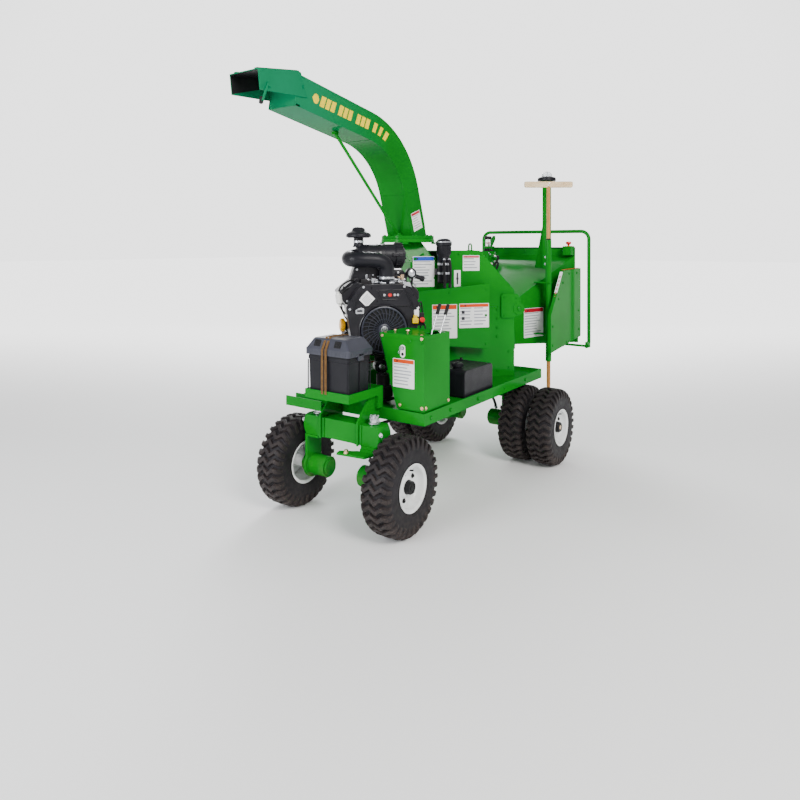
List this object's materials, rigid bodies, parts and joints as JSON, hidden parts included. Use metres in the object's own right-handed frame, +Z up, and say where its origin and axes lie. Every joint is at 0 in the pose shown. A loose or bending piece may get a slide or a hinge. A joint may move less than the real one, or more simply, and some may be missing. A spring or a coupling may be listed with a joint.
{
  "type": "wood chipper",
  "caption": "Self-propelled wood chipper with an engine, disc housing, feed hopper, swivelling discharge chute and steered front wheels.",
  "frame": {"origin": "on the ground under the middle of the machine's outer box", "axes": "+X forward, from the hopper to the battery end; +Y to the machine's left; +Z up"},
  "size_m": [2.737, 1.215, 2.2424],
  "materials": {
    "body_green": "gloss",
    "tyre_rubber": "matt with tread lugs",
    "rim_white": "gloss",
    "black_plastic": "grained",
    "engine_black": "satin",
    "steel": "machined",
    "zinc": "zinc plated",
    "brass_plate": "yellow passivated",
    "hose_rubber": "matt",
    "belt_rubber": "matt",
    "strap_web": "woven webbing",
    "wood": "varnished handle",
    "pale_wood": "sanded board",
    "red_plastic": "gloss",
    "yellow_plastic": "gloss",
    "white_plastic": "gloss",
    "clear_lens": "clear ribbed lens",
    "label": "plain sticker"
  },
  "bodies": {
    "chassis": {"deck_frame": "body_green", "deck_plate": "body_green", "front_extension": "body_green", "front_axle_beam": "body_green", "rear_axle": "body_green", "battery_box": "black_plastic", "battery_lid": "black_plastic", "battery_strap": "strap_web", "fuel_tank": "black_plastic", "control_box": "body_green", "engine_block": "engine_black", "blower_housing": "engine_black", "air_cleaner": "black_plastic", "hoses": "hose_rubber", "belt_guard": "body_green", "drive_belts": "belt_rubber", "disc_housing": "body_green", "rotor_bearings": "steel", "feed_housing": "body_green", "feed_hopper": "body_green", "hopper_guards": "body_green", "valve_block": "body_green", "hydraulic_filter": "engine_black", "hydraulic_tank": "body_green", "paddle_holder": "body_green", "beacon_post": "body_green", "beacon": "clear_lens", "estop_boxes": "body_green", "body_bolts": "brass_plate", "steering_cylinder": "body_green"},
    "left_steer": {"left_knuckle": "body_green"},
    "right_steer": {"right_knuckle": "body_green"},
    "tie_rod": {"tie_rod": "body_green"},
    "steering_rod": {"steering_rod": "steel"},
    "front_left_wheel": {"front_left_tyre": "tyre_rubber", "front_left_rim": "rim_white"},
    "front_right_wheel": {"front_right_tyre": "tyre_rubber", "front_right_rim": "rim_white"},
    "rear_left_wheels": {"rear_left_tyres": "tyre_rubber", "rear_left_rims": "rim_white"},
    "rear_right_wheels": {"rear_right_tyres": "tyre_rubber", "rear_right_rims": "rim_white"},
    "fuel_cap": {"fuel_cap": "black_plastic"},
    "left_lever": {"left_lever": "steel"},
    "right_lever": {"right_lever": "steel"},
    "key": {"key": "steel"},
    "rotor": {"chipper_disc": "steel"},
    "crank": {"crankshaft": "steel", "debris_screen": "engine_black"},
    "hood": {"housing_hood": "body_green"},
    "roller_arm": {"roller_arm": "body_green"},
    "upper_roller": {"upper_roller": "steel"},
    "lower_roller": {"lower_roller": "steel"},
    "control_bar": {"control_bar": "body_green"},
    "push_paddle": {"push_paddle": "wood"},
    "left_estop": {"left_estop": "red_plastic"},
    "right_estop": {"right_estop": "red_plastic"},
    "chute": {"discharge_chute": "body_green", "chute_brace": "body_green"},
    "deflector": {"deflector": "body_green"}
  },
  "joints": [
    {"name": "steer_left", "type": "hinge", "parent": "chassis", "child": "left_steer", "pos_m": [0.8765, 0.18, 0.45], "axis": [0, 0, 1], "range_deg": [-25, 25]},
    {"name": "steer_right", "type": "hinge", "parent": "chassis", "child": "right_steer", "pos_m": [0.8765, -0.18, 0.45], "axis": [0, 0, 1], "range_deg": [-25, 25]},
    {"name": "tie_rod_pivot", "type": "hinge", "parent": "left_steer", "child": "tie_rod", "pos_m": [0.7665, 0.18, 0.38], "axis": [0, 0, 1], "range_deg": [-25, 25]},
    {"name": "steering_stroke", "type": "slide", "parent": "chassis", "child": "steering_rod", "axis": [0, 1, 0], "range_m": [-0.0475, 0.0475]},
    {"name": "front_left_spin", "type": "hinge", "parent": "left_steer", "child": "front_left_wheel", "pos_m": [0.8765, 0.34, 0.2375], "axis": [0, 1, 0], "continuous": true},
    {"name": "front_right_spin", "type": "hinge", "parent": "right_steer", "child": "front_right_wheel", "pos_m": [0.8765, -0.34, 0.2375], "axis": [0, 1, 0], "continuous": true},
    {"name": "rear_left_spin", "type": "hinge", "parent": "chassis", "child": "rear_left_wheels", "pos_m": [-0.5135, 0.34, 0.2375], "axis": [0, 1, 0], "continuous": true},
    {"name": "rear_right_spin", "type": "hinge", "parent": "chassis", "child": "rear_right_wheels", "pos_m": [-0.5135, -0.34, 0.2375], "axis": [0, 1, 0], "continuous": true},
    {"name": "fuel_cap_turn", "type": "hinge", "parent": "chassis", "child": "fuel_cap", "pos_m": [0.2675, 0.3, 0.718], "axis": [0, 0, 1], "continuous": true},
    {"name": "left_lever_tilt", "type": "hinge", "parent": "chassis", "child": "left_lever", "pos_m": [0.6265, 0.37, 0.83], "axis": [0, 1, 0], "range_deg": [-12, 12], "stiffness_Nm_per_rad": 30},
    {"name": "right_lever_tilt", "type": "hinge", "parent": "chassis", "child": "right_lever", "pos_m": [0.6265, 0.32, 0.83], "axis": [0, 1, 0], "range_deg": [-12, 12], "stiffness_Nm_per_rad": 30},
    {"name": "key_turn", "type": "hinge", "parent": "chassis", "child": "key", "pos_m": [0.7415, 0.257, 0.868], "axis": [1, 0, 0], "range_deg": [0, 60]},
    {"name": "disc_spin", "type": "hinge", "parent": "chassis", "child": "rotor", "pos_m": [-0.24485, 0.00529, 0.93], "axis": [0.6428, 0.766, 0], "continuous": true},
    {"name": "engine_spin", "type": "hinge", "parent": "chassis", "child": "crank", "pos_m": [0.46793, -0.1098, 0.924], "axis": [0.6428, 0.766, 0], "continuous": true},
    {"name": "hood_open", "type": "hinge", "parent": "chassis", "child": "hood", "pos_m": [-0.53211, 0.24633, 0.975], "axis": [-0.6428, -0.766, 0], "range_deg": [0, 45]},
    {"name": "roller_arm_lift", "type": "hinge", "parent": "chassis", "child": "roller_arm", "pos_m": [-0.4735, -0.16, 0.965], "axis": [0, 1, 0], "range_deg": [0, 20]},
    {"name": "upper_roller_spin", "type": "hinge", "parent": "roller_arm", "child": "upper_roller", "pos_m": [-0.6035, -0.02, 0.885], "axis": [0, 1, 0], "continuous": true},
    {"name": "lower_roller_spin", "type": "hinge", "parent": "chassis", "child": "lower_roller", "pos_m": [-0.6035, -0.02, 0.745], "axis": [0, 1, 0], "continuous": true},
    {"name": "control_bar_tilt", "type": "hinge", "parent": "chassis", "child": "control_bar", "pos_m": [-1.3085, 0.052, 0.64], "axis": [0, 1, 0], "range_deg": [-8, 8]},
    {"name": "paddle_lift", "type": "slide", "parent": "chassis", "child": "push_paddle", "axis": [0, 0, 1], "range_m": [0, 0.4]},
    {"name": "left_estop_press", "type": "slide", "parent": "chassis", "child": "left_estop", "axis": [0, 0, -1], "range_m": [0, 0.006], "stiffness_N_per_m": 1500, "springref_m": -0.002},
    {"name": "right_estop_press", "type": "slide", "parent": "chassis", "child": "right_estop", "axis": [0, 0, -1], "range_m": [0, 0.006], "stiffness_N_per_m": 1500, "springref_m": -0.002},
    {"name": "chute_swivel", "type": "hinge", "parent": "chassis", "child": "chute", "pos_m": [0.0165, -0.207, 1.425], "axis": [0, 0, 1], "continuous": true},
    {"name": "deflector_tilt", "type": "hinge", "parent": "chute", "child": "deflector", "pos_m": [1.1017, -0.207, 2.23344], "axis": [0, 1, 0], "range_deg": [-10, 35]}
  ],
  "couplings": [
    {"joint": "steer_right", "follows": "steer_left", "ratio": 1},
    {"joint": "tie_rod_pivot", "follows": "steer_left", "ratio": -1},
    {"joint": "steering_stroke", "follows": "steer_left", "m_per_rad": -0.10654},
    {"joint": "engine_spin", "follows": "disc_spin", "ratio": 1.8333},
    {"joint": "upper_roller_spin", "follows": "lower_roller_spin", "ratio": -1}
  ]
}
